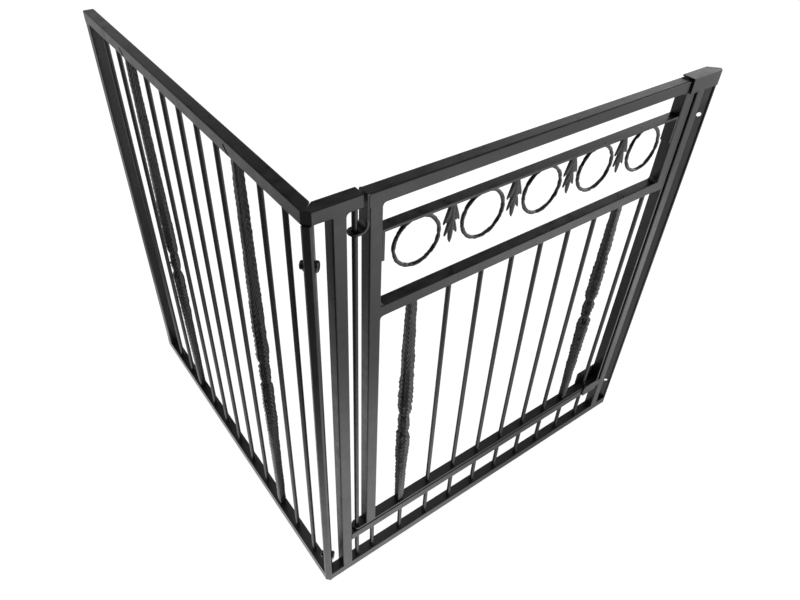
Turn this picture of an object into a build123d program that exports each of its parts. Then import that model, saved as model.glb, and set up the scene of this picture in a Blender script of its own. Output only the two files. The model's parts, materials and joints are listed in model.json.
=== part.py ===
"""Garden gate: a side panel and a gate panel bolted together at a right angle.

The gate panel holds a swinging leaf on a long pivot rod. Everything is powder-coated
steel: square tube frames, round infill bars, hammered square bars, rings and leaf castings.

Working axes, in mm: the outer corner of the two panels is the working origin, the gate
panel runs along +X, the side panel along +Y, and +Z is up. The outer faces of the panels
look along -Y and -X. At export everything moves so that the origin is the centre of the
foot of the whole object's box.
"""
from build123d import *
import math
import os

# ---------------------------------------------------------------- driving dimensions
HEIGHT = 1050.0            # floor to the top of the rails
GATE_LENGTH = 1002.0       # outer corner to outer corner of the gate panel
TUBE = 25.0                # square tube
TUBE_WALL = 1.5
TUBE_RADIUS = 2.5
BAR_DIAMETER = 10.0        # plain infill bars
SIDE_PITCH = 81.0          # spacing of the side panel's bars
SIDE_SPACES = 12           # spaces along the side panel
SIDE_LAST = 89.0           # last space, to the outside of the end stile
LEAF_PITCH = 81.0          # spacing of the leaf's bars
FIN_THICKNESS = 3.0        # folded end fins
FIN_CHAMFER = 8.0          # flat of a fin across the outer corner, measured along each face
RAIL_CHAMFER = 12.0        # the same flat on the mitred ends of the two top rails
MITRE_GAP = 2.2            # how far each top rail stands back from the mitre at the inner corner
SLOT_WIDTH = 5.0           # slanted slots in the side panel's top rail, over its hammered bars
SLOT_RUN = 18.0
SLOT_RISE = 13.0

SIDE_LENGTH = SIDE_PITCH * (SIDE_SPACES - 1) + SIDE_LAST
MID = TUBE / 2             # middle plane of a panel
RAIL_UNDERSIDE = HEIGHT - TUBE

# Hammered square bars: width at the ends, at the two swellings, at the two pinches of the
# knot and at the knot's middle, then the distances from there to the pinches and swellings
HAMMERED_END = 15.5
HAMMERED_SWELL = 22.5
HAMMERED_PINCH = 14.5
HAMMERED_KNOT = 19.5
PINCH_REACH = 28.0
SWELL_REACH = 58.0
# Place of each hammered bar: height of its knot and how far it stands off the even pitch
SIDE_HAMMERED = {2: (511.0, 0.0), 8: (489.0, 9.0)}
LEAF_HAMMERED = {0: (440.0, -6.0), 7: (486.0, -7.0)}

# Gate frame
ROD_X = 92.0
ROD_DIAMETER = 10.0
HINGE_POST_X = 46.0        # left face of the hinge post
SHORT_RAIL_END = 100.0
SILL_Z = 121.0
LATCH_POST_X = 930.0       # left face of the latch post
CAP_START = 897.0
CAP_SHEET = 3.0
CAP_FRONT = -4.0
CAP_BACK = 25.5
CAP_TOP = 1050.0
CAP_FOOT = 1018.0
FIN_HOLE = 10.5
HOLE_DEPTH = 13.5          # bolt holes, measured from each outer face
BOLT_HEIGHTS = (95.0, 946.0)
BOLT_DIAMETER = 10.0
HEAD_DIAMETER = 20.0       # round heads of the corner bolts
HEAD_HEIGHT = 8.5
WASHER = 1.6
NUT_ACROSS = 17.0          # domed nuts of the corner bolts
NUT_HEIGHT = 7.0
NUT_DOME = 5.4

# Leaf
LEAF_TOP = 1046.0
LEAF_LEFT = 111.5          # left face of the hinge stile
LEAF_RIGHT = 919.0
FLAT = 5.0                 # thickness of the flat bars on the bottom and the closing side
FLAT_EDGE = 0.5            # how far the flat bars stand back from the faces
LEAF_FOOT = 150.0
MID_RAIL_Z = 789.0
FIRST_BAR_X = 219.0
LEAF_BARS = 9
STRIP_Z = 966.0            # underside of the decorative strip
STRIP = 5.0
STRIP_LEG_FOOT = 910.0
RING_COUNT = 5
RING_PITCH = 148.25
RING_MIDDLE_X = 511.5
RING_OUTSIDE = 103.0
RING_WIRE = 8.5
CASTING_THICKNESS = 8.0
CASTING_EDGE = (           # half width and drop below the strip: stem, three lobes, tip
    (7.0, 0.0), (9.0, 16.0), (12.0, 26.0), (18.0, 42.0), (9.0, 41.0), (6.3, 39.5),
    (8.5, 48.0), (12.0, 57.0), (14.0, 67.0), (6.5, 65.0), (6.4, 70.0), (4.0, 79.0), (0.6, 85.5),
)
HINGE_LEG_Z = 981.0        # top of the hinge bracket's level leg
HINGE_LEG_THICKNESS = 4.0
HINGE_LEG_BEND = 12.0
PIN_CLEARANCE = 0.05
STOP_PLATE_X = 855.0       # left end of the front stop plate
STOP_PLATE = 54.0

# Barrel bolt on the back of the leaf
LATCH_LEFT = 850.0
LATCH_PLATE_TOP = 190.0
LATCH_HOUSING = 50.0       # from the left guide to the closing edge
LATCH_BOLT = 6.0
LATCH_GUIDE = 7.0          # length of each guide, and half its height
LATCH_BACK = 36.0          # back face of the guides and of the keeper
LATCH_AXIS_Y = 31.5
LATCH_AXIS_Z = 160.0

PARTS = {}


# ---------------------------------------------------------------- shapes
def tube(start, length, axis, closed_start=False, closed_end=False):
    """Square tube along one axis; start is the middle of its first end."""
    across = {"x": (0, 1, 0), "y": (-1, 0, 0), "z": (1, 0, 0)}[axis]
    along = {"x": (1, 0, 0), "y": (0, 1, 0), "z": (0, 0, 1)}[axis]
    end = Plane(origin=start, x_dir=across, z_dir=along)
    outer = extrude(end * RectangleRounded(TUBE, TUBE, TUBE_RADIUS), amount=length)
    inside = TUBE - 2 * TUBE_WALL
    first = TUBE_WALL if closed_start else 0
    last = length - (TUBE_WALL if closed_end else 0)
    bore_start = end.offset(first)
    bore_face = bore_start * RectangleRounded(inside, inside, TUBE_RADIUS - TUBE_WALL)
    return outer - extrude(bore_face, amount=last - first)


def box(x0, x1, y0, y1, z0, z1):
    """Box between two corners."""
    middle = ((x0 + x1) / 2, (y0 + y1) / 2, (z0 + z1) / 2)
    return Pos(*middle) * Box(x1 - x0, y1 - y0, z1 - z0)


def rod(x, y, z0, z1, diameter):
    """Upright round bar."""
    return Pos(x, y, (z0 + z1) / 2) * Cylinder(diameter / 2, z1 - z0)


def rod_along(start, direction, length, diameter):
    """Round bar from a point along any direction."""
    plane = Plane(origin=start, z_dir=direction)
    return extrude(plane * Circle(diameter / 2), amount=length)


def prism(points, z0, z1):
    """Upright prism on a plan outline."""
    outline = Polygon(*points, align=None)
    return Pos(0, 0, z0) * extrude(outline, amount=z1 - z0, dir=(0, 0, 1))


def hammered_bar(x, y, z0, z1, knot):
    """Square bar that swells towards its middle, with a knot between two pinches."""
    stations = (
        (z0, HAMMERED_END),
        (knot - SWELL_REACH, HAMMERED_SWELL),
        (knot - PINCH_REACH, HAMMERED_PINCH),
        (knot, HAMMERED_KNOT),
        (knot + PINCH_REACH, HAMMERED_PINCH),
        (knot + SWELL_REACH, HAMMERED_SWELL),
        (z1, HAMMERED_END),
    )
    faces = [Pos(x, y, z) * Rectangle(w, w) for z, w in stations]
    return loft(faces, ruled=True)


def bar_solid(start, length, axis):
    """The outer form of a square tube, without its bore."""
    return tube(start, length, axis) + solid_core(start, length, axis)


def solid_core(start, length, axis):
    """Square core that fills a tube's bore."""
    half = TUBE / 2 - TUBE_WALL / 2
    x, y, z = start
    spans = {
        "x": (x, x + length, y - half, y + half, z - half, z + half),
        "y": (x - half, x + half, y, y + length, z - half, z + half),
        "z": (x - half, x + half, y - half, y + half, z, z + length),
    }
    return box(*spans[axis])


# ---------------------------------------------------------------- end fins and mitres
def near_end(x, y):
    """Plan point at the gate panel's corner end."""
    return (x, y)


def far_end(x, y):
    """Plan point at the gate panel's free end."""
    return (GATE_LENGTH - x, y)


def side_end(x, y):
    """Plan point at the side panel's corner end."""
    return (y, x)


def end_cut(place):
    """Prism that trims a rail back to the inside of an end fin."""
    skew = FIN_THICKNESS * math.sqrt(2)
    c = FIN_CHAMFER
    spill = 5.0
    outline = (
        (-spill, -spill),
        (c + skew + spill, -spill),
        (c / 2 + skew, c / 2),
        (TUBE + skew + spill, TUBE + spill),
        (-spill, TUBE + spill),
    )
    return prism([place(*p) for p in outline], -1, HEIGHT + 1)


def mitre_cut(place, inset):
    """Prism that gives a top rail its mitred end; inset moves the cut into the rail."""
    c = RAIL_CHAMFER
    slope = (TUBE + MITRE_GAP - c / 2) / (TUBE - c / 2)
    spill = 5.0
    outline = (
        (-spill, -spill),
        (c + inset + spill, -spill),
        (c / 2 + inset, c / 2),
        (TUBE + MITRE_GAP + inset + slope * spill, TUBE + spill),
        (-spill, TUBE + spill),
    )
    return prism([place(*p) for p in outline], -1, HEIGHT + 1)


def mitred_rail(start, length, axis, place):
    """Square tube with a closed mitred end at the corner and a closed square far end."""
    outer = bar_solid(start, length, axis)
    bore = outer - tube(start, length, axis, closed_end=True)
    return outer - mitre_cut(place, 0) - (bore - mitre_cut(place, TUBE_WALL * math.sqrt(2)))


def end_fin(place, top):
    """Folded end fin: a flat across the corner and a mitred web behind it."""
    skew = FIN_THICKNESS * math.sqrt(2)
    c = FIN_CHAMFER
    web = (
        (c, 0),
        (c / 2, c / 2),
        (TUBE, TUBE),
        (TUBE + skew, TUBE),
        (c / 2 + skew, c / 2),
        (c + skew, 0),
    )
    fin = prism([place(*p) for p in web], 0, top)
    return fin - [fin_hole(place, z) for z in BOLT_HEIGHTS]


def bolt_line(place, z):
    """Middle of a bolt hole in the mitred web, and the direction through the web."""
    a = place(HOLE_DEPTH, HOLE_DEPTH)
    b = place(HOLE_DEPTH + 1, HOLE_DEPTH - 1)
    return (a[0], a[1], z), (b[0] - a[0], b[1] - a[1], 0)


def fin_hole(place, z):
    """Cutter for one bolt hole through a fin's web."""
    point, direction = bolt_line(place, z)
    axis = Vector(*direction).normalized()
    start = Vector(*point) - axis * 4
    return rod_along(start, axis, 12, FIN_HOLE)


# ---------------------------------------------------------------- side panel
def side_panel():
    top_start = (MID, 0, HEIGHT - MID)
    bottom_start = (MID, 0, MID)
    slots = [rail_slot(SIDE_PITCH * (place + 1)) for place in SIDE_HAMMERED]
    top = mitred_rail(top_start, SIDE_LENGTH, "y", side_end)
    PARTS["side_top_rail"] = top - slots
    bottom = tube(bottom_start, SIDE_LENGTH, "y", closed_end=True)
    PARTS["side_bottom_rail"] = bottom - end_cut(side_end)
    stile = tube((MID, SIDE_LENGTH - MID, TUBE), RAIL_UNDERSIDE - TUBE, "z")
    y0 = SIDE_LENGTH - TUBE
    for z0, start in ((RAIL_UNDERSIDE, top_start), (TUBE - TUBE_RADIUS, bottom_start)):
        joint = box(0, TUBE, y0, SIDE_LENGTH, z0, z0 + TUBE_RADIUS)
        stile += joint - bar_solid(start, SIDE_LENGTH, "y")
    PARTS["side_end_stile"] = stile
    PARTS["side_corner_fin"] = end_fin(side_end, RAIL_UNDERSIDE)
    for place in range(SIDE_SPACES - 1):
        y = SIDE_PITCH * (place + 1)
        if place in SIDE_HAMMERED:
            knot, off = SIDE_HAMMERED[place]
            bar = hammered_bar(MID, y + off, TUBE, RAIL_UNDERSIDE, knot)
            PARTS[f"side_hammered_bar_{place + 1:02d}"] = bar
        else:
            bar = rod(MID, y, TUBE, RAIL_UNDERSIDE, BAR_DIAMETER)
            PARTS[f"side_bar_{place + 1:02d}"] = bar


def rail_slot(y):
    """Cutter for the slanted slot in the outer wall of the side panel's top rail."""
    angle = math.degrees(math.atan2(SLOT_RISE, SLOT_RUN))
    length = math.hypot(SLOT_RISE, SLOT_RUN)
    plane = Plane(origin=(0, y + SLOT_RUN / 2, HEIGHT - MID - 3), x_dir=(0, 1, 0), z_dir=(1, 0, 0))
    slot = Rot(0, 0, angle) * SlotOverall(length, SLOT_WIDTH)
    return extrude(plane * slot, amount=TUBE_WALL + 1, both=True)


# ---------------------------------------------------------------- gate frame
def gate_frame():
    pivot = rod(ROD_X, MID, SILL_Z + MID, HEIGHT - MID, ROD_DIAMETER)
    PARTS["pivot_rod"] = pivot
    rail_start = (0, MID, HEIGHT - MID)
    short_rail = mitred_rail(rail_start, SHORT_RAIL_END, "x", near_end)
    PARTS["gate_short_rail"] = short_rail - pivot
    bottom = tube((0, MID, MID), GATE_LENGTH, "x") - end_cut(near_end) - end_cut(far_end)
    PARTS["gate_bottom_rail"] = bottom
    sill_start = HINGE_POST_X + TUBE
    sill = tube((sill_start, MID, SILL_Z + MID), LATCH_POST_X - sill_start, "x")
    PARTS["gate_sill"] = sill - pivot
    hinge_post = tube((HINGE_POST_X + MID, MID, TUBE), RAIL_UNDERSIDE - TUBE, "z")
    post_top = CAP_TOP - CAP_SHEET
    latch_post = tube((LATCH_POST_X + MID, MID, TUBE), post_top - TUBE, "z")
    short_bar = bar_solid(rail_start, SHORT_RAIL_END, "x")
    bottom_bar = bar_solid((0, MID, MID), GATE_LENGTH, "x")
    hinge_post += post_joint(HINGE_POST_X, RAIL_UNDERSIDE, RAIL_UNDERSIDE + TUBE_RADIUS) - short_bar
    hinge_post += post_joint(HINGE_POST_X, TUBE - TUBE_RADIUS, TUBE) - bottom_bar
    latch_post += post_joint(LATCH_POST_X, TUBE - TUBE_RADIUS, TUBE) - bottom_bar
    PARTS["hinge_post"] = hinge_post
    PARTS["latch_post"] = latch_post
    PARTS["gate_corner_fin"] = end_fin(near_end, RAIL_UNDERSIDE)
    PARTS["gate_end_fin"] = end_fin(far_end, post_top)
    PARTS["latch_cap"] = latch_cap()
    PARTS["kick_bars"] = kick_bars()
    PARTS["front_stop_plate"] = front_stop_plate()
    PARTS["latch_keeper"] = latch_keeper()
    washer = rod(ROD_X, MID, SILL_Z + TUBE, LEAF_FOOT, 20)
    PARTS["pivot_washer"] = washer - rod(ROD_X, MID, SILL_Z, LEAF_FOOT + 1, ROD_DIAMETER)


def post_joint(x, z0, z1):
    """Block at the end of a post; what a rail leaves of it fills the rail's rounded edges."""
    return box(x, x + TUBE, 0, TUBE, z0, z1)


def latch_cap():
    """Angle over the free end: top sheet and front flange, open at the back for the leaf."""
    c = FIN_CHAMFER
    reach = GATE_LENGTH - CAP_START
    outline = (
        (reach, CAP_FRONT),
        (c - CAP_FRONT, CAP_FRONT),
        (c / 2, c / 2),
        (CAP_BACK, CAP_BACK),
        (reach, CAP_BACK),
    )
    under = CAP_TOP - CAP_SHEET
    top = prism([far_end(*p) for p in outline], under, CAP_TOP)
    flange_end = GATE_LENGTH - c + CAP_FRONT
    front = box(CAP_START, flange_end, CAP_FRONT, CAP_FRONT + CAP_SHEET, CAP_FOOT, under)
    return top + front


def kick_bars():
    """Short bars between the bottom rail and the sill, as separate solids."""
    places = [ROD_X, (ROD_X + FIRST_BAR_X) / 2 - BAR_DIAMETER * 2]
    places += [FIRST_BAR_X + LEAF_PITCH * i for i in range(LEAF_BARS)]
    return Compound([rod(x, MID, TUBE, SILL_Z, BAR_DIAMETER) for x in places])


def front_stop_plate():
    """Plate on the front of the sill that the closed leaf rests against."""
    plate = box(STOP_PLATE_X, STOP_PLATE_X + STOP_PLATE, -4, 0, SILL_Z, LEAF_FOOT + 7)
    upright = plate.edges().filter_by(Axis.Y)
    left = upright.group_by(Axis.X)[0].sort_by(Axis.Z)
    plate = fillet(left[-1], 11)
    left = plate.edges().filter_by(Axis.Y).group_by(Axis.X)[0].sort_by(Axis.Z)
    return fillet(left[0], 6)


def latch_keeper():
    """Block behind the latch post that takes the barrel bolt."""
    half = LATCH_GUIDE
    x0 = LATCH_POST_X + 4
    block = box(x0, x0 + 16, TUBE, LATCH_BACK, LATCH_AXIS_Z - half, LATCH_AXIS_Z + half)
    start = (x0 - 1, LATCH_AXIS_Y, LATCH_AXIS_Z)
    return block - rod_along(start, (1, 0, 0), 18, LATCH_BOLT + 1)


# ---------------------------------------------------------------- corner fasteners
def corner_fasteners():
    """Two bolts through both fins, each with a round head on one side and a domed nut on the other."""
    bolts = []
    washers = []
    nuts = []
    for z in BOLT_HEIGHTS:
        point, direction = bolt_line(near_end, z)
        axis = Vector(*direction).normalized()
        middle = Vector(*point)
        seat = FIN_THICKNESS + WASHER
        shank = rod_along(middle - axis * (seat + NUT_HEIGHT), axis, 2 * seat + NUT_HEIGHT, BOLT_DIAMETER)
        bolts.append(shank + rounded_disc(middle + axis * seat, axis, HEAD_DIAMETER, HEAD_HEIGHT))
        for way in (axis, -axis):
            washer = rod_along(middle + way * FIN_THICKNESS, way, WASHER, HEAD_DIAMETER)
            washers.append(washer - shank)
        nuts.append(domed_nut(middle - axis * seat, -axis) - shank)
    PARTS["corner_bolts"] = Compound(bolts)
    PARTS["corner_washers"] = Compound(washers)
    PARTS["corner_nuts"] = Compound(nuts)


def rounded_disc(face, way, diameter, height):
    """Round head that stands on a plane, with its far edge rounded."""
    disc = rod_along(face, way, height, diameter)
    rim = disc.edges().filter_by(GeomType.CIRCLE).sort_by(lambda e: (e.arc_center - face).dot(way))[-1]
    return fillet(rim, height * 0.45)


def domed_nut(face, way):
    """Hexagon nut with a closed domed end."""
    plane = Plane(origin=face, z_dir=way)
    hexagon = extrude(plane * RegularPolygon(NUT_ACROSS / 2, 6, major_radius=False), amount=NUT_HEIGHT)
    return hexagon + rounded_disc(face + way * NUT_HEIGHT, way, NUT_ACROSS - 2, NUT_DOME)


# ---------------------------------------------------------------- leaf
def leaf_frame():
    tube_right = LEAF_RIGHT - FLAT
    rail_z = LEAF_TOP - MID
    top_length = tube_right - LEAF_LEFT
    top = tube((LEAF_LEFT, MID, rail_z), top_length, "x", True, True)
    PARTS["leaf_top_rail"] = top
    stile_foot = LEAF_FOOT + FLAT
    stile_top = LEAF_TOP - TUBE
    top_bar = bar_solid((LEAF_LEFT, MID, rail_z), top_length, "x")
    stile = tube((LEAF_LEFT + MID, MID, stile_foot), stile_top - stile_foot, "z")
    joint = post_joint(LEAF_LEFT, stile_top, stile_top + TUBE_RADIUS)
    PARTS["leaf_hinge_stile"] = stile + (joint - top_bar)
    upper_length = stile_top - MID_RAIL_Z
    upper_x = tube_right - TUBE
    upper = tube((upper_x + MID, MID, MID_RAIL_Z), upper_length, "z", closed_start=True)
    joint = post_joint(upper_x, stile_top, stile_top + TUBE_RADIUS)
    PARTS["leaf_latch_stile"] = upper + (joint - top_bar)
    rail_start = LEAF_LEFT + TUBE
    rail_length = upper_x - rail_start
    mid_rail = tube((rail_start, MID, MID_RAIL_Z + MID), rail_length, "x")
    for x, stile_x in ((rail_start - TUBE_RADIUS, LEAF_LEFT), (upper_x, upper_x)):
        joint = box(x, x + TUBE_RADIUS, 0, TUBE, MID_RAIL_Z, MID_RAIL_Z + TUBE)
        mid_rail += joint - bar_solid((stile_x + MID, MID, stile_foot), stile_top - stile_foot, "z")
    PARTS["leaf_mid_rail"] = mid_rail
    y0 = FLAT_EDGE
    y1 = TUBE - FLAT_EDGE
    PARTS["leaf_closing_flat"] = box(tube_right, LEAF_RIGHT, y0, y1, stile_foot, LEAF_TOP)
    PARTS["leaf_bottom_flat"] = bottom_flat(y0, y1, stile_foot)
    PARTS["hinge_bracket"] = hinge_bracket(y0, y1)


def bottom_flat(y0, y1, top):
    """Flat bar under the leaf; its rounded left end turns on the pivot rod."""
    half = (y1 - y0) / 2
    flat = box(ROD_X, LEAF_RIGHT, y0, y1, LEAF_FOOT, top)
    flat += rod(ROD_X, MID, LEAF_FOOT, top, 2 * half)
    return flat - rod(ROD_X, MID, LEAF_FOOT - 1, top + 1, ROD_DIAMETER + 2 * PIN_CLEARANCE)


def hinge_bracket(y0, y1):
    """Bent strip: welded up the hinge stile, with a level leg that turns on the pivot rod."""
    t = HINGE_LEG_THICKNESS
    half = (y1 - y0) / 2
    left = LEAF_LEFT - t
    low = HINGE_LEG_Z - t
    outer = HINGE_LEG_BEND + t
    upright = box(left, LEAF_LEFT, y0, y1, low + outer, LEAF_TOP)
    level = box(ROD_X, LEAF_LEFT - outer, y0, y1, low, HINGE_LEG_Z)
    level += rod(ROD_X, MID, low, HINGE_LEG_Z, 2 * half)
    bend_axis = Plane(origin=(LEAF_LEFT - outer, y0, low + outer), x_dir=(1, 0, 0), z_dir=(0, 1, 0))
    bend = extrude(bend_axis * (Circle(outer) - Circle(outer - t)), amount=y1 - y0)
    bend &= box(LEAF_LEFT - outer, LEAF_LEFT, y0, y1, low, low + outer)
    bracket = upright + level + bend
    bracket -= rod(ROD_X, MID, low - 1, HINGE_LEG_Z + 1, ROD_DIAMETER + 2 * PIN_CLEARANCE)
    return bracket - rod(ROD_X - 8.2, MID, low - 1, HINGE_LEG_Z + 1, 3.5)


def leaf_infill():
    foot = LEAF_FOOT + FLAT
    for place in range(LEAF_BARS):
        x = FIRST_BAR_X + LEAF_PITCH * place
        if place in LEAF_HAMMERED:
            knot, off = LEAF_HAMMERED[place]
            bar = hammered_bar(x + off, MID, foot, MID_RAIL_Z, knot)
            PARTS[f"leaf_hammered_bar_{place + 1}"] = bar
        else:
            PARTS[f"leaf_bar_{place + 1}"] = rod(x, MID, foot, MID_RAIL_Z, BAR_DIAMETER)


def decoration():
    left = LEAF_LEFT + TUBE
    right = LEAF_RIGHT - FLAT - TUBE
    y0 = 2 * FLAT_EDGE
    y1 = TUBE - 2 * FLAT_EDGE
    strip = box(left, right, y0, y1, STRIP_Z, STRIP_Z + STRIP)
    strip += box(left, left + STRIP, y0, y1, STRIP_LEG_FOOT, STRIP_Z)
    strip += box(right - STRIP, right, y0, y1, STRIP_LEG_FOOT, STRIP_Z)
    PARTS["decor_strip"] = strip
    first = RING_MIDDLE_X - RING_PITCH * (RING_COUNT - 1) / 2
    for i in range(RING_COUNT):
        x = first + RING_PITCH * i
        PARTS[f"decor_ring_{i + 1}"] = decor_ring(x)
        if i < RING_COUNT - 1:
            PARTS[f"leaf_casting_{i + 1}"] = leaf_casting(x + RING_PITCH / 2)


def decor_ring(x):
    """Ring of round wire that touches the strip above it."""
    middle = STRIP_Z - RING_OUTSIDE / 2
    major = (RING_OUTSIDE - RING_WIRE) / 2
    return Pos(x, MID, middle) * Rot(90, 0, 0) * Torus(major, RING_WIRE / 2)


def leaf_casting(x):
    """Leaf with three pairs of pointed lobes that hangs from the strip."""
    plane = Plane(origin=(x, MID, STRIP_Z), x_dir=(1, 0, 0), z_dir=(0, -1, 0))
    right = [(half, -drop) for half, drop in CASTING_EDGE]
    left = [(-half, drop) for half, drop in reversed(right)]
    outline = Polygon(*right, *left, align=None)
    return extrude(plane * outline, amount=CASTING_THICKNESS / 2, both=True)


# ---------------------------------------------------------------- barrel bolt
def barrel_bolt():
    y_plate = TUBE - FLAT_EDGE
    back = y_plate + 3.5
    g = LATCH_GUIDE
    plate = box(LATCH_LEFT, LEAF_RIGHT, y_plate, back, LEAF_FOOT, LATCH_PLATE_TOP)
    first = LEAF_RIGHT - LATCH_HOUSING
    for x0 in (first, LEAF_RIGHT - 2 - g):
        plate += box(x0, x0 + g, back, LATCH_BACK, LATCH_AXIS_Z - g, LATCH_AXIS_Z + g)
    start = (LATCH_LEFT, LATCH_AXIS_Y, LATCH_AXIS_Z)
    bore = rod_along(start, (1, 0, 0), LEAF_RIGHT - LATCH_LEFT + 2, LATCH_BOLT + 0.3)
    PARTS["latch_plate"] = plate - bore
    bolt_start = (first - 2, LATCH_AXIS_Y, LATCH_AXIS_Z)
    bolt = rod_along(bolt_start, (1, 0, 0), LEAF_RIGHT - 1 - bolt_start[0], LATCH_BOLT)
    PARTS["latch_bolt"] = bolt
    knob_x = first + g + 4
    stem = rod_along((knob_x, LATCH_AXIS_Y, LATCH_AXIS_Z), (0, 0, -1), 14, 4)
    knob = Pos(knob_x, LATCH_AXIS_Y, LATCH_AXIS_Z - 17) * Sphere(4)
    PARTS["latch_knob"] = stem - bolt + knob


# ---------------------------------------------------------------- export
def export():
    """Move everything to the object's own origin and write one file for each part."""
    os.makedirs("parts", exist_ok=True)
    bounds = Compound(list(PARTS.values())).bounding_box()
    shift = Pos(-(bounds.min.X + bounds.max.X) / 2, -(bounds.min.Y + bounds.max.Y) / 2, 0)
    print("origin moved from the outer corner by", shift.position)
    for name, shape in PARTS.items():
        export_step(shift * shape, f"parts/{name}.step")


side_panel()
gate_frame()
corner_fasteners()
leaf_frame()
leaf_infill()
decoration()
barrel_bolt()
export()
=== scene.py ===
"""Looks of the garden gate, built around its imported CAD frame."""
import json
import math
import random

import bmesh
import bpy
from mathutils import Matrix, Vector, noise


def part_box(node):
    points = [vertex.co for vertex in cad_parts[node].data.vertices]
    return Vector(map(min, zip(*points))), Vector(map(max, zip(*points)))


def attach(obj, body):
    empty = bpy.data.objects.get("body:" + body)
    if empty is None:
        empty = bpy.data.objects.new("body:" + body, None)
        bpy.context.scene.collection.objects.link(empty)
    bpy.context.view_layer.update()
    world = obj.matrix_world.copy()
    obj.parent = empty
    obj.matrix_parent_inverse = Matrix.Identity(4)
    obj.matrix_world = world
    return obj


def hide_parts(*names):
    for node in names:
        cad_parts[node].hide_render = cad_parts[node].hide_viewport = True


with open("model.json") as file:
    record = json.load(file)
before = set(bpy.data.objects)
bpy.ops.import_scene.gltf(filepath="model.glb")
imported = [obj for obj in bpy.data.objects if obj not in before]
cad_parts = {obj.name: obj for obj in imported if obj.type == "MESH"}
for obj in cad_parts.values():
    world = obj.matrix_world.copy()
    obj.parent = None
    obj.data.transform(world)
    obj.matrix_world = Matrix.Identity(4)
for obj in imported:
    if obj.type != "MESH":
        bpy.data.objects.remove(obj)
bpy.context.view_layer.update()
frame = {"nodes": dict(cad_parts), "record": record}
NODES = frame["nodes"]
BODY_OF = {n: body for body, members in frame["record"]["behaviour"]["bodies"].items() for n in members}
MM = 0.001
X_AXIS = (1.0, 0.0, 0.0)
Y_AXIS = (0.0, 1.0, 0.0)
TO_FRONT = (0.0, -1.0, 0.0)

# ------------------------------------------------------------------ camera
CAMERA_PLACE = (-0.3706, -0.6956, 1.5718)   # from the foot of the outer corner, in metres
CAMERA_RIGHT = (0.8051, -0.5919, 0.0384)    # directions of the picture's right, down and ahead
CAMERA_DOWN = (-0.3644, -0.5447, -0.7553)
CAMERA_AHEAD = (0.468, 0.5941, -0.6543)
CAMERA_LENS = 30.27
CAMERA_SHIFT = (-0.00033, 0.00193)


def make_camera():
    """The camera looks down on the outer corner from the front left."""
    corner = Vector((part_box("side_bottom_rail")[0].x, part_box("gate_bottom_rail")[0].y, 0.0))
    data = bpy.data.cameras.new("camera")
    data.sensor_width = 36.0
    data.lens = CAMERA_LENS
    data.clip_start = 0.05
    data.clip_end = 60.0
    data.shift_x, data.shift_y = CAMERA_SHIFT
    obj = bpy.data.objects.new("camera", data)
    turn = Matrix((CAMERA_RIGHT, -Vector(CAMERA_DOWN), -Vector(CAMERA_AHEAD))).transposed()
    obj.matrix_world = Matrix.Translation(corner + Vector(CAMERA_PLACE)) @ turn.to_4x4()
    bpy.context.scene.collection.objects.link(obj)
    bpy.context.scene.camera = obj


# ------------------------------------------------------------------ node helpers
def math_node(tree, operation, first, second):
    """Math node between two sockets or numbers; gives its output socket."""
    node = tree.nodes.new("ShaderNodeMath")
    node.operation = operation
    for socket, value in zip(node.inputs, (first, second)):
        if isinstance(value, (int, float)):
            socket.default_value = value
        else:
            tree.links.new(value, socket)
    return node.outputs[0]


def ease(tree, value, start, end, before, after):
    """Smooth change from one level to another as a value goes from start to end."""
    node = tree.nodes.new("ShaderNodeMapRange")
    node.interpolation_type = "SMOOTHSTEP"
    for name, number in (("From Min", start), ("From Max", end), ("To Min", before), ("To Max", after)):
        node.inputs[name].default_value = number
    tree.links.new(value, node.inputs["Value"])
    return node.outputs["Result"]


def reach(tree, vector, direction):
    """How far a vector reaches in a direction."""
    node = tree.nodes.new("ShaderNodeVectorMath")
    node.operation = "DOT_PRODUCT"
    node.inputs[1].default_value = direction
    tree.links.new(vector, node.inputs[0])
    return node.outputs["Value"]


def plain_to_camera(tree, level):
    """The level that the object mirrors, with one even white where the camera looks."""
    path = tree.nodes.new("ShaderNodeLightPath")
    seen = tree.nodes.new("ShaderNodeMix")
    tree.links.new(path.outputs["Is Camera Ray"], seen.inputs["Factor"])
    tree.links.new(level, seen.inputs["A"])
    seen.inputs["B"].default_value = PAPER_SEEN
    return seen.outputs["Result"]


# ------------------------------------------------------------------ light and floor
# What the object mirrors. Each change has its start and end, in metres on the floor or as a
# share of a unit vector in the sky, and then the level before it and the level after it.
PAPER_NEAR = (0.7, 1.35, 0.95, 0.01)        # by distance from the middle
NEAR_BY_X = (-0.3, 0.2, 1.0, 0.38)          # shares of the near paper that are left
NEAR_TO_FRONT = (0.6, 0.85, 1.0, 1.35)
NEAR_LEFT_END = (-0.95, -0.75, 0.15, 1.0)
TO_RIGHT = (0.6, -0.5, 0.0)
PAPER_RIGHT = (0.4, 1.2, 0.0, 1.05)         # by distance along TO_RIGHT
PAPER_FAR_RIGHT = (1.25, 1.8, 0.0, 0.68)    # taken off again further along it
TO_BACK = (-0.3, 0.95, 0.0)
PAPER_BACK = (1.0, 1.5, 0.0, 0.45)          # by distance along TO_BACK
YARD_BY_X = (0.0, 0.45, 1.0, 0.0)           # how much of the floor counts as the yard
YARD_LOSS = 0.9                             # share of its light that the yard loses
YARD_EDGE = 0.02
PAPER_SEEN = 0.94                           # what the camera itself sees of paper and room
FLOOR_HALF = 14.0
FLOOR_DROP = 0.0015
WALL = (0.20, 0.43, 2.0, 0.02)              # by height
WALL_BY_X = (0.4, 0.85, 0.36, 1.15)
OVERHEAD = (0.70, 0.84, 0.0, 0.40)          # by height
CAMERA_SIDE = (-0.62, -0.78, 0.0)
DARK_SIDE = (-0.9, 0.5, 1.0, 0.02)          # by distance along CAMERA_SIDE
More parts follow.
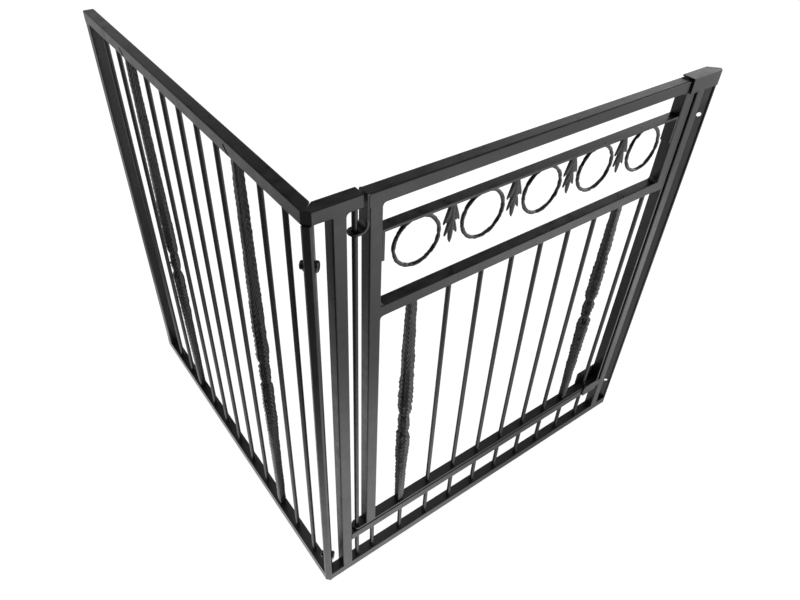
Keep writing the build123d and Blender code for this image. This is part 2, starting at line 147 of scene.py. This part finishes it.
BOX_PLACE = (3.2, -1.6, 1.0)
BOX_TARGET = (0.4, 0.0, 0.5)
BOX_SIZE = 1.6
BOX_POWER = 12.0


def right_box():
    """Soft box on the right of the gate panel."""
    data = bpy.data.lights.new("right_box", "AREA")
    data.shape = "RECTANGLE"
    data.size = BOX_SIZE
    data.size_y = BOX_SIZE
    data.energy = BOX_POWER
    obj = bpy.data.objects.new("right_box", data)
    aim = (Vector(BOX_TARGET) - Vector(BOX_PLACE)).to_track_quat("-Z", "Y")
    obj.matrix_world = Matrix.Translation(Vector(BOX_PLACE)) @ aim.to_matrix().to_4x4()
    bpy.context.scene.collection.objects.link(obj)


def paper_level(tree, place):
    """Brightness of the paper by place, for everything except the camera."""
    away = tree.nodes.new("ShaderNodeVectorMath")
    away.operation = "LENGTH"
    tree.links.new(place, away.inputs[0])
    near = ease(tree, away.outputs["Value"], *PAPER_NEAR)
    for direction, change in ((X_AXIS, NEAR_BY_X), (TO_FRONT, NEAR_TO_FRONT), (X_AXIS, NEAR_LEFT_END)):
        near = math_node(tree, "MULTIPLY", near, ease(tree, reach(tree, place, direction), *change))
    right = ease(tree, reach(tree, place, TO_RIGHT), *PAPER_RIGHT)
    far = ease(tree, reach(tree, place, TO_RIGHT), *PAPER_FAR_RIGHT)
    back = ease(tree, reach(tree, place, TO_BACK), *PAPER_BACK)
    lit = math_node(tree, "ADD", math_node(tree, "ADD", near, right), back)
    lit = math_node(tree, "SUBTRACT", lit, far)

    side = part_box("side_bottom_rail")[1]
    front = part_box("gate_bottom_rail")[1]
    yard = ease(tree, reach(tree, place, X_AXIS), side.x - YARD_EDGE, side.x + YARD_EDGE, 0.0, 1.0)
    past_front = ease(tree, reach(tree, place, Y_AXIS), front.y - YARD_EDGE, front.y + YARD_EDGE, 0.0, 1.0)
    yard = math_node(tree, "MULTIPLY", yard, past_front)
    yard = math_node(tree, "MULTIPLY", yard, ease(tree, reach(tree, place, X_AXIS), *YARD_BY_X))
    kept = math_node(tree, "SUBTRACT", 1.0, math_node(tree, "MULTIPLY", yard, YARD_LOSS))
    return math_node(tree, "MULTIPLY", lit, kept)


def make_floor():
    """White paper, even to the camera and lit in patches for what the object mirrors."""
    mesh = bpy.data.meshes.new("floor")
    corners = [(x * FLOOR_HALF, y * FLOOR_HALF, 0) for x, y in ((-1, -1), (1, -1), (1, 1), (-1, 1))]
    mesh.from_pydata(corners, [], [(0, 1, 2, 3)])
    floor = bpy.data.objects.new("floor", mesh)
    floor.location.z = -FLOOR_DROP
    bpy.context.scene.collection.objects.link(floor)
    mat = bpy.data.materials.new("floor_white")
    mat.use_nodes = True
    tree = mat.node_tree
    bsdf = tree.nodes["Principled BSDF"]
    bsdf.inputs["Base Color"].default_value = (0.5, 0.5, 0.5, 1)
    bsdf.inputs["Roughness"].default_value = 0.9
    bsdf.inputs["Specular IOR Level"].default_value = 0.0
    bsdf.inputs["Emission Color"].default_value = (1, 1, 1, 1)
    place = tree.nodes.new("ShaderNodeTexCoord").outputs["Object"]
    seen = plain_to_camera(tree, paper_level(tree, place))
    tree.links.new(seen, bsdf.inputs["Emission Strength"])
    mesh.materials.append(mat)


def make_room():
    """Low wall, brightest towards +X, with a patch overhead; dark on the camera's side."""
    world = bpy.data.worlds.new("studio")
    bpy.context.scene.world = world
    world.use_nodes = True
    tree = world.node_tree
    sky = tree.nodes.new("ShaderNodeTexCoord").outputs["Generated"]
    split = tree.nodes.new("ShaderNodeSeparateXYZ")
    tree.links.new(sky, split.inputs[0])
    wall = ease(tree, split.outputs["Z"], *WALL)
    wall = math_node(tree, "MULTIPLY", wall, ease(tree, split.outputs["X"], *WALL_BY_X))
    shade = ease(tree, reach(tree, sky, CAMERA_SIDE), *DARK_SIDE)
    level = math_node(tree, "MULTIPLY", wall, shade)
    level = math_node(tree, "ADD", level, ease(tree, split.outputs["Z"], *OVERHEAD))
    background = tree.nodes["Background"]
    background.inputs["Color"].default_value = (1, 1, 1, 1)
    tree.links.new(plain_to_camera(tree, level), background.inputs["Strength"])


def make_stage():
    """Floor, room and soft box, with the plain view transform."""
    make_floor()
    make_room()
    right_box()
    view = bpy.context.scene.view_settings
    view.view_transform = "Standard"
    view.look = "None"


# ------------------------------------------------------------------ materials
TONE_SCALE = 7.0             # slow change of tone
SPECK_SCALE = 650.0          # powder grain
PATCH_SCALE = 38.0           # glossier and duller patches
PEEL_SCALE = 210.0           # orange peel
SPECK_SHARE = 0.45           # share of the grain in the tone, with the slow change as the rest
DULLER = 0.07
GLOSSIER = 0.05
PEEL_HEIGHT = 0.6 * MM
GRAIN_HEIGHT = 0.3 * MM


def coat_material(name, dark, light, roughness, grain, peel):
    """Powder coat: fine grain, slight orange peel and a soft change of tone."""
    mat = bpy.data.materials.new(name)
    mat.use_nodes = True
    tree = mat.node_tree
    bsdf = tree.nodes["Principled BSDF"]
    coord = tree.nodes.new("ShaderNodeTexCoord").outputs["Object"]

    def noise_level(scale, detail):
        node = tree.nodes.new("ShaderNodeTexNoise")
        node.inputs["Scale"].default_value = scale
        node.inputs["Detail"].default_value = detail
        node.inputs["Roughness"].default_value = 0.55
        tree.links.new(coord, node.inputs["Vector"])
        return node.outputs["Fac"]

    def bump(height, strength, distance):
        node = tree.nodes.new("ShaderNodeBump")
        node.inputs["Strength"].default_value = strength
        node.inputs["Distance"].default_value = distance
        tree.links.new(height, node.inputs["Height"])
        return node

    speck = noise_level(SPECK_SCALE, 2.0)
    slow = math_node(tree, "MULTIPLY", noise_level(TONE_SCALE, 4.0), 1 - SPECK_SHARE)
    tone = math_node(tree, "ADD", math_node(tree, "MULTIPLY", speck, SPECK_SHARE), slow)
    colour = tree.nodes.new("ShaderNodeMix")
    colour.data_type = "RGBA"
    colour.inputs["A"].default_value = (*dark, 1)
    colour.inputs["B"].default_value = (*light, 1)
    tree.links.new(tone, colour.inputs["Factor"])
    tree.links.new(colour.outputs["Result"], bsdf.inputs["Base Color"])

    rough = tree.nodes.new("ShaderNodeMapRange")
    rough.inputs["From Min"].default_value = 0.3
    rough.inputs["From Max"].default_value = 0.7
    rough.inputs["To Min"].default_value = roughness - GLOSSIER
    rough.inputs["To Max"].default_value = roughness + DULLER
    tree.links.new(noise_level(PATCH_SCALE, 3.0), rough.inputs["Value"])
    tree.links.new(rough.outputs["Result"], bsdf.inputs["Roughness"])

    waves = bump(noise_level(PEEL_SCALE, 1.0), peel, PEEL_HEIGHT)
    powder = bump(speck, grain, GRAIN_HEIGHT)
    tree.links.new(waves.outputs["Normal"], powder.inputs["Normal"])
    tree.links.new(powder.outputs["Normal"], bsdf.inputs["Normal"])
    bsdf.inputs["Specular IOR Level"].default_value = 1.0
    return mat


FRAME_COAT = coat_material("frame_coat", (0.003, 0.003, 0.003), (0.009, 0.009, 0.0095), 0.31, 0.35, 0.16)
BAR_COAT = coat_material("bar_coat", (0.007, 0.007, 0.008), (0.016, 0.016, 0.017), 0.36, 0.3, 0.12)
FORGED_COAT = coat_material("forged_coat", (0.005, 0.005, 0.006), (0.018, 0.018, 0.019), 0.30, 0.5, 0.9)
CAST_COAT = coat_material("cast_coat", (0.026, 0.026, 0.027), (0.052, 0.052, 0.053), 0.44, 0.45, 0.3)
LATCH_COAT = coat_material("latch_coat", (0.004, 0.004, 0.004), (0.009, 0.009, 0.009), 0.5, 0.3, 0.12)
FASTENER_COAT = coat_material("fastener_coat", (0.004, 0.004, 0.004), (0.010, 0.010, 0.010), 0.3, 0.2, 0.1)
WELD_COAT = coat_material("weld_coat", (0.012, 0.012, 0.013), (0.030, 0.030, 0.031), 0.36, 0.3, 0.4)


# ------------------------------------------------------------------ mesh helpers
def mesh_object(name, verts, faces, material):
    """Smooth-shaded mesh in the scene, with its faces looking outwards."""
    mesh = bpy.data.meshes.new(name)
    mesh.from_pydata(verts, [], faces)
    bm = bmesh.new()
    bm.from_mesh(mesh)
    bmesh.ops.recalc_face_normals(bm, faces=bm.faces)
    bm.to_mesh(mesh)
    bm.free()
    for face in mesh.polygons:
        face.use_smooth = True
    obj = bpy.data.objects.new(name, mesh)
    bpy.context.scene.collection.objects.link(obj)
    mesh.materials.append(material)
    return obj


def loft(rings, verts, faces, closed=False):
    """Adds the skin between rings of equal count, capped at both ends unless closed."""
    base = len(verts)
    n = len(rings[0])
    for ring in rings:
        verts.extend(ring)
    count = len(rings)
    for i in range(count if closed else count - 1):
        a = base + i * n
        b = base + ((i + 1) % count) * n
        for j in range(n):
            k = (j + 1) % n
            faces.append((a + j, a + k, b + k, b + j))
    if not closed:
        faces.append(tuple(base + j for j in range(n)))
        faces.append(tuple(base + (count - 1) * n + j for j in range(n)))


def give(piece, node):
    """The piece stands for a CAD node and rides on its body."""
    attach(piece, BODY_OF[node])
    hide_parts(node)


def smoothstep(a, b, x):
    """Smooth rise from 0 to 1 as x goes from a to b."""
    t = min(1.0, max(0.0, (x - a) / (b - a)))
    return t * t * (3 - 2 * t)


def around(steps):
    """Even angles round a circle."""
    return [2 * math.pi * i / steps for i in range(steps)]


# ------------------------------------------------------------------ hammered bars
END_WIDTH = 15.5 * MM
KNOT_HALF = (                  # height above the knot's middle and full width there, in mm
    (8, 19.4), (20, 17.4), (28, 14.6), (36, 19.0), (46, 22.4), (58, 22.5),
)
KNOT_SHAPE = [(-rise, width) for rise, width in reversed(KNOT_HALF)] + list(KNOT_HALF)
KNOTS = {                      # height of each knot's middle
    "side_hammered_bar_03": 0.511,
    "side_hammered_bar_09": 0.489,
    "leaf_hammered_bar_1": 0.440,
    "leaf_hammered_bar_8": 0.486,
}
HAMMER_LIMIT = 24.6 * MM       # the bars stay within the tubes they stand on
GROOVE_PITCH = 13.0 * MM
GROOVE_SLOPE = 2.1             # rise of a groove from a face's edge to its middle
GROOVE_DEPTH = 2.6
EDGE_BUMP = 1.5
LUMP = (0.8, 1.6)              # on the faces, and added to that at the edges
DENT = 0.9
CALM = 0.35                    # share of the hammering that is left towards the ends
CALM_SPAN = (0.07, 0.27)       # distances from the knot over which it dies down
SQUARENESS = 9                 # the higher, the sharper the bar's edges
STATION = 1.6 * MM
FACE_STEPS = 22


def bar_width(z, low, high, knot):
    """Full width of the bar at a height."""
    stops = [(knot + rise * MM, width * MM) for rise, width in KNOT_SHAPE]
    stops = [(low, END_WIDTH)] + stops + [(high, END_WIDTH)]
    for (z0, w0), (z1, w1) in zip(stops, stops[1:]):
        if z <= z1:
            return w0 + (w1 - w0) * (z - z0) / (z1 - z0)
    return END_WIDTH


def sawtooth(phase):
    """Slow rise and steep fall, from 0 to 1."""
    share = phase - math.floor(phase)
    return share / 0.8 if share < 0.8 else (1 - share) / 0.2


def square_outline():
    """Points round a square of half-width 1."""
    points = []
    for side in range(4):
        for i in range(FACE_STEPS):
            s = -1 + 2 * i / FACE_STEPS
            points.append([(-1, -s), (s, -1), (1, s), (-s, 1)][side])
    return points


def hammering(x, y, z, half, shift):
    """How far hammering moves a point of the outline out, in mm."""
    run = half * (abs(x) if abs(y) > 0.999 else abs(y))
    wander = noise.noise(Vector((x, y, z * 14)) + shift) * 0.5
    ridge = sawtooth((z + GROOVE_SLOPE * run) / GROOVE_PITCH + wander)
    lump = noise.noise(Vector((x * 0.6, y * 0.6, z * 33)) + shift)
    dent = noise.noise(Vector((x * half, y * half, z)) * 90 + shift)
    bump = noise.noise(Vector((x, y, z * 75)) + shift)
    edge = max(0.0, min(abs(x), abs(y)) - 0.55) / 0.45
    out = (ridge - 0.6) * GROOVE_DEPTH + edge * bump * EDGE_BUMP
    return out + lump * (LUMP[0] + LUMP[1] * edge) + dent * DENT


def hammered_bar(node, seed):
    """Forged square bar with slanted grooves, uneven edges and a knot between two pinches."""
    low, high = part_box(node)
    cx, cy = (low.x + high.x) / 2, (low.y + high.y) / 2
    length = high.z - low.z
    shift = Vector((seed * 3.7, seed * 1.3, 0))
    knot = KNOTS[node]
    square = square_outline()
    rings = []
    steps = int(length / STATION)
    for i in range(steps + 1):
        z = low.z + i / steps * length
        width = bar_width(z, low.z, high.z, knot)
        half = width / 2
        fade = CALM + (1 - CALM) * (1 - smoothstep(*CALM_SPAN, abs(z - knot)))
        ring = []
        for x, y in square:
            out = fade * hammering(x, y, z, half, shift) * MM
            out = min(out, (HAMMER_LIMIT - width) / 2)
            round_off = (abs(x) ** SQUARENESS + abs(y) ** SQUARENESS) ** (1 / SQUARENESS)
            grown = (half + out) / half / round_off
            ring.append((cx + x * half * grown, cy + y * half * grown, z))
        rings.append(ring)
    verts, faces = [], []
    loft(rings, verts, faces)
    bar = mesh_object(node.replace("hammered_bar", "forged_bar"), verts, faces, FORGED_COAT)
    give(bar, node)


# ------------------------------------------------------------------ rings
RING_SIDES = 14
RING_STEPS = 150
WIRE_SHARE = 0.84              # thickness of the forged wire, as a share of the plain one
DENT_LIMIT = 0.25
DENT_SHARE = 0.42
FLATTENED = 1.08               # growth of the wire's inner and outer side
WIRE_LIMIT = 1.12
WELDED_TOP = 0.98              # sine above which the wire stays under the strip


def hammered_ring(node, seed):
    """Forged ring with hammer marks round its wire."""
    low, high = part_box(node)
    middle = (low + high) / 2
    wire = (high.y - low.y) / 2 * WIRE_SHARE
    major = (high.z - low.z) / 2 - wire
    shift = Vector((seed * 2.1, 0, seed * 4.3))
    rings = []
    for a in around(RING_STEPS):
        outward = Vector((math.cos(a), 0, math.sin(a)))
        ring = []
        for b in around(RING_SIDES):
            face = outward * math.cos(b) + Vector((0, math.sin(b), 0))
            spot = middle + outward * major + face * wire
            dent = noise.noise(spot * 110 + shift) + noise.noise(spot * 280 + shift) * 0.5
            grow = 1.0 + min(dent, DENT_LIMIT) * DENT_SHARE
            if math.sin(a) > WELDED_TOP:
                grow = min(grow, 1.0)
            flat = FLATTENED if abs(math.sin(b)) < 0.5 else 1.0
            ring.append(tuple(middle + outward * major + face * wire * min(grow * flat, WIRE_LIMIT)))
        rings.append(ring)
    verts, faces = [], []
    loft(rings, verts, faces, closed=True)
    ring = mesh_object(node.replace("decor_ring", "forged_ring"), verts, faces, FORGED_COAT)
    give(ring, node)


# ------------------------------------------------------------------ leaf castings
BLADE_STATIONS = 14
BLADE_SIDES = 12
CAST_VOXEL = 0.8 * MM


def petal(path, widths, thick, verts, faces):
    """Tapering blade along a path in the panel's plane, with a raised midrib."""
    rings = []
    for i, place in enumerate(path):
        before = path[max(i - 1, 0)]
        after = path[min(i + 1, len(path) - 1)]
        course = (after - before).normalized()
        across = Vector((-course.z, 0, course.x))
        ring = []
        for b in around(BLADE_SIDES):
            c, s = math.cos(b), math.sin(b)
            rib = 1.0 + 0.35 * max(0.0, abs(s) - 0.8) / 0.2
            ring.append(tuple(place + across * widths[i] * c + Vector((0, thick[i] * s * rib, 0))))
        rings.append(ring)
    loft(rings, verts, faces)


def curve(points):
    """Quadratic curve through a start, a pull point and an end."""
    a, b, c = (Vector(p) for p in points)
    out = []
    for i in range(BLADE_STATIONS):
        t = i / (BLADE_STATIONS - 1)
        out.append(a * (1 - t) ** 2 + b * 2 * t * (1 - t) + c * t * t)
    return out


def blade_widths(root, belly, tip, belly_at):
    """Half-widths along a blade: smooth out to its belly, then round in to its tip."""
    out = []
    for i in range(BLADE_STATIONS):
        t = i / (BLADE_STATIONS - 1)
        if t < belly_at:
            w = root + (belly - root) * smoothstep(0, belly_at, t)
        else:
            u = (t - belly_at) / (1 - belly_at)
            w = tip + (belly - tip) * math.sqrt(max(0.0, 1 - u ** 2.2))
        out.append(w * MM)
    return out


def blade_depths(thick):
    """Half-thicknesses along a blade, full a third of the way down it."""
    last = BLADE_STATIONS - 1
    swell = [math.sin(math.pi * min(1, 0.25 + 0.72 * i / last)) for i in range(BLADE_STATIONS)]
    return [thick * MM * (0.45 + 0.55 * s) for s in swell]


def cast_leaf(node):
    """Cast leaf: a stem, a body and three pairs of lobes, fused into one skin."""
    low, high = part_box(node)
    cx, cy, top = (low.x + high.x) / 2, (low.y + high.y) / 2, high.z
    drop = high.z - low.z
    spread = (high.x - low.x) / 2
    verts, faces = [], []

    def at(x, z, y=0.0):
        return (cx + x * spread, cy + y * MM, top + z * drop)

    def blade(points, root, belly, tip, thick, belly_at=0.5):
        petal(curve(points), blade_widths(root, belly, tip, belly_at), blade_depths(thick), verts, faces)

    blade((at(0, 0), at(0, -0.45, -0.6), at(0, -0.995)), 6.5, 6.0, 0.3, 3.6, 0.72)
    blade((at(0, 0), at(0, -0.3), at(0, -0.62)), 8.5, 10.5, 3.0, 2.3)
    for side in (-1, 1):
        upper = at(side * 0.16, -0.01), at(side * 0.40, -0.26, -0.8), at(side * 0.98, -0.50)
        inner = at(side * 0.20, -0.16), at(side * 0.42, -0.34, -0.4), at(side * 0.62, -0.48)
        lower = at(side * 0.10, -0.34), at(side * 0.30, -0.56, -0.8), at(side * 0.76, -0.795)
        blade(upper, 3.6, 4.4, 0.3, 3.0)
        blade(inner, 3.0, 3.6, 0.5, 2.8)
        blade(lower, 3.4, 4.2, 0.3, 2.9)
    leaf = mesh_object(node.replace("leaf_casting", "cast_leaf"), verts, faces, CAST_COAT)
    remesh = leaf.modifiers.new("fuse", "REMESH")
    remesh.mode = "VOXEL"
    remesh.voxel_size = CAST_VOXEL
    soften = leaf.modifiers.new("soften", "SMOOTH")
    soften.iterations = 1
    soften.factor = 0.5
    depsgraph = bpy.context.evaluated_depsgraph_get()
    done = bpy.data.meshes.new_from_object(leaf.evaluated_get(depsgraph))
    leaf.modifiers.clear()
    leaf.data = done
    for face in done.polygons:
        face.use_smooth = True
    give(leaf, node)


# ------------------------------------------------------------------ weld beads
BAR_RADIUS = 5.0 * MM          # round bars
HAMMERED_RADIUS = 7.5 * MM     # ends of the hammered bars
BEAD = 1.5                     # radius of a bead round a bar before it is made uneven, in mm
POST_BEAD = 1.3 * MM
RAIL_BEAD = 1.5 * MM
RING_BEAD = 1.6 * MM
BRACKET_BEAD = 1.2 * MM
BEAD_STEP = 2.2 * MM
RING_BEAD_REACH = 12.0 * MM    # half the length of a ring's bead
RING_BEAD_SIDE = 3.0 * MM      # from the ring's middle plane
BRACKET_BEAD_ENDS = (50.0 * MM, 4.0 * MM)   # below the bracket's top
POST_INSET = 3.0 * MM          # how far straight beads stop short of a tube's edges
RAIL_INSET = 2.0 * MM
FILLET = 6.0 * MM              # ground welds in the inner corners
FILLET_INSET = 1.2 * MM
KICK_GAP = 12.0 * MM           # vertices closer than this in X belong to one kick bar


def bead_ring(cx, cy, z, radius, up, rnd, verts, faces):
    """Uneven bead round a bar's foot or head; up is +1 on a rail's top, -1 below a rail."""
    rings = []
    for a in around(18):
        size = (BEAD + rnd.uniform(-0.35, 0.45)) * MM
        mid = radius + 0.2 * MM
        ring = []
        for b in around(6):
            r = mid + size * math.cos(b)
            h = z + up * size * 0.35 + size * 0.85 * math.sin(b)
            ring.append((cx + r * math.cos(a), cy + r * math.sin(a), h))
        rings.append(ring)
    loft(rings, verts, faces, closed=True)


def bead_line(a, b, size, rnd, verts, faces):
    """Uneven bead along a straight seam."""
    a, b = Vector(a), Vector(b)
    course = (b - a).normalized()
    side = course.orthogonal().normalized()
    other = course.cross(side)
    count = max(4, int((b - a).length / BEAD_STEP))
    rings = []
    for i in range(count + 1):
        ripple = 0.82 + 0.18 * math.sin(i * 1.9) + rnd.uniform(-0.10, 0.10)
        r = size * ripple * (0.35 if i in (0, count) else 1.0)
        centre = a + (b - a) * (i / count)
        rings.append([tuple(centre + side * r * math.cos(c) + other * r * math.sin(c)) for c in around(8)])
    loft(rings, verts, faces)


def corner_fillet(x, z, side, up, y0, y1, verts, faces):
    """Hollow-faced weld in an inner corner at (x, z); side and up point into the opening."""
    arc = [(x + side * FILLET, z)]
    for i in range(1, 8):
        a = math.pi / 2 * i / 8
        arc.append((x + side * FILLET * (1 - math.sin(a)), z + up * FILLET * (1 - math.cos(a))))
    arc.append((x, z + up * FILLET))
    arc.append((x, z))
    loft([[(px, y, pz) for px, pz in arc] for y in (y0, y1)], verts, faces)


def frame_fillets(verts, faces):
    """Ground weld under the short rail, beside the hinge post."""
    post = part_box("hinge_post")
    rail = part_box("gate_short_rail")
    y0, y1 = rail[0].y + FILLET_INSET, rail[1].y - FILLET_INSET
    corner_fillet(post[1].x, rail[0].z, 1, -1, y0, y1, verts, faces)


def leaf_fillets(verts, faces):
    """Ground welds in the inner corners of the leaf's openings."""
    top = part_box("leaf_top_rail")
    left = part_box("leaf_hinge_stile")[1].x
    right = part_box("leaf_latch_stile")[0].x
    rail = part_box("leaf_mid_rail")
    y0, y1 = top[0].y + FILLET_INSET, top[1].y - FILLET_INSET
    for x, side in ((left, 1), (right, -1)):
        corner_fillet(x, top[0].z, side, -1, y0, y1, verts, faces)
        corner_fillet(x, rail[1].z, side, 1, y0, y1, verts, faces)
    corner_fillet(left, rail[0].z, 1, -1, y0, y1, verts, faces)


def bar_beads(body, rnd, verts, faces):
    """Beads round the foot and head of every bar of a body that has its own node."""
    for node, owner in sorted(BODY_OF.items()):
        if owner != body:
            continue
        low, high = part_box(node)
        cx, cy = (low.x + high.x) / 2, (low.y + high.y) / 2
        plain = node.startswith(("side_bar", "leaf_bar")) or node == "pivot_rod"
        if plain or "hammered_bar" in node:
            radius = BAR_RADIUS if plain else HAMMERED_RADIUS
            bead_ring(cx, cy, low.z, radius, 1, rnd, verts, faces)
            bead_ring(cx, cy, high.z, radius, -1, rnd, verts, faces)


def kick_bar_middles():
    """X of each kick bar, from the gaps between the vertices of their shared node."""
    groups = []
    for x in sorted({round(v.co.x, 3) for v in NODES["kick_bars"].data.vertices}):
        if groups and x - groups[-1][-1] < KICK_GAP:
            groups[-1].append(x)
        else:
            groups.append([x])
    return [(group[0] + group[-1]) / 2 for group in groups]


def frame_beads(rnd, verts, faces):
    """Beads on the gate's bottom rail and sill, and at the foot of the end stile."""
    rail_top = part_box("gate_bottom_rail")[1].z
    sill_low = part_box("gate_sill")[0].z
    y = (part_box("kick_bars")[0].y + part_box("kick_bars")[1].y) / 2
    for x in kick_bar_middles():
        bead_ring(x, y, rail_top, BAR_RADIUS, 1, rnd, verts, faces)
        bead_ring(x, y, sill_low, BAR_RADIUS, -1, rnd, verts, faces)
    for post in ("hinge_post", "latch_post"):
        low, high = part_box(post)
        for x in (low.x, high.x):
            ends = (x, low.y + POST_INSET, rail_top), (x, high.y - POST_INSET, rail_top)
            bead_line(*ends, POST_BEAD, rnd, verts, faces)
    low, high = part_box("side_end_stile")
    ends = (low.x + POST_INSET, low.y, rail_top), (high.x - POST_INSET, low.y, rail_top)
    bead_line(*ends, POST_BEAD, rnd, verts, faces)


def leaf_beads(rnd, verts, faces):
    """Beads at the middle rail's ends, on top of the rings and along the hinge bracket."""
    low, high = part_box("leaf_mid_rail")
    for x in (low.x, high.x):
        for z in (low.z, high.z):
            ends = (x, low.y + RAIL_INSET, z), (x, high.y - RAIL_INSET, z)
            bead_line(*ends, RAIL_BEAD, rnd, verts, faces)
    for i in range(1, 6):
        low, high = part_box(f"decor_ring_{i}")
        x, y = (low.x + high.x) / 2, (low.y + high.y) / 2
        for side in (-1, 1):
            seam_y, seam_z = y + side * RING_BEAD_SIDE, high.z - MM
            ends = (x - RING_BEAD_REACH, seam_y, seam_z), (x + RING_BEAD_REACH, seam_y, seam_z)
            bead_line(*ends, RING_BEAD, rnd, verts, faces)
    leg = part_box("hinge_bracket")
    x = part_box("leaf_hinge_stile")[0].x - MM
    for y in (leg[0].y, leg[1].y):
        ends = [(x, y, leg[1].z - below) for below in BRACKET_BEAD_ENDS]
        bead_line(*ends, BRACKET_BEAD, rnd, verts, faces)


def make_welds():
    """One piece of weld beads and ground corner welds on the frame and one on the leaf."""
    rnd = random.Random(11)
    extras = {"frame": (frame_beads, frame_fillets), "leaf": (leaf_beads, leaf_fillets)}
    for body, (beads, fillets) in extras.items():
        verts, faces = [], []
        bar_beads(body, rnd, verts, faces)
        beads(rnd, verts, faces)
        fillets(verts, faces)
        piece = mesh_object(f"{body}_weld_beads", verts, faces, WELD_COAT)
        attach(piece, body)


# ------------------------------------------------------------------ carried-over CAD nodes
def dress_cad():
    """Coats for the nodes that come straight from the CAD frame."""
    for name, obj in NODES.items():
        if name.startswith(("corner_", "pivot_washer")):
            material = FASTENER_COAT
        elif name.startswith("latch_") and name not in ("latch_cap", "latch_post"):
            material = LATCH_COAT
        elif name.startswith(("side_bar", "leaf_bar", "kick_bars", "pivot_rod")):
            material = BAR_COAT
        else:
            material = FRAME_COAT
        obj.data.materials.clear()
        obj.data.materials.append(material)


make_camera()
make_stage()
dress_cad()
for number, node in enumerate(n for n in sorted(NODES) if "hammered_bar" in n):
    hammered_bar(node, number + 1)
for number in range(1, 6):
    hammered_ring(f"decor_ring_{number}", number)
for number in range(1, 5):
    cast_leaf(f"leaf_casting_{number}")
make_welds()
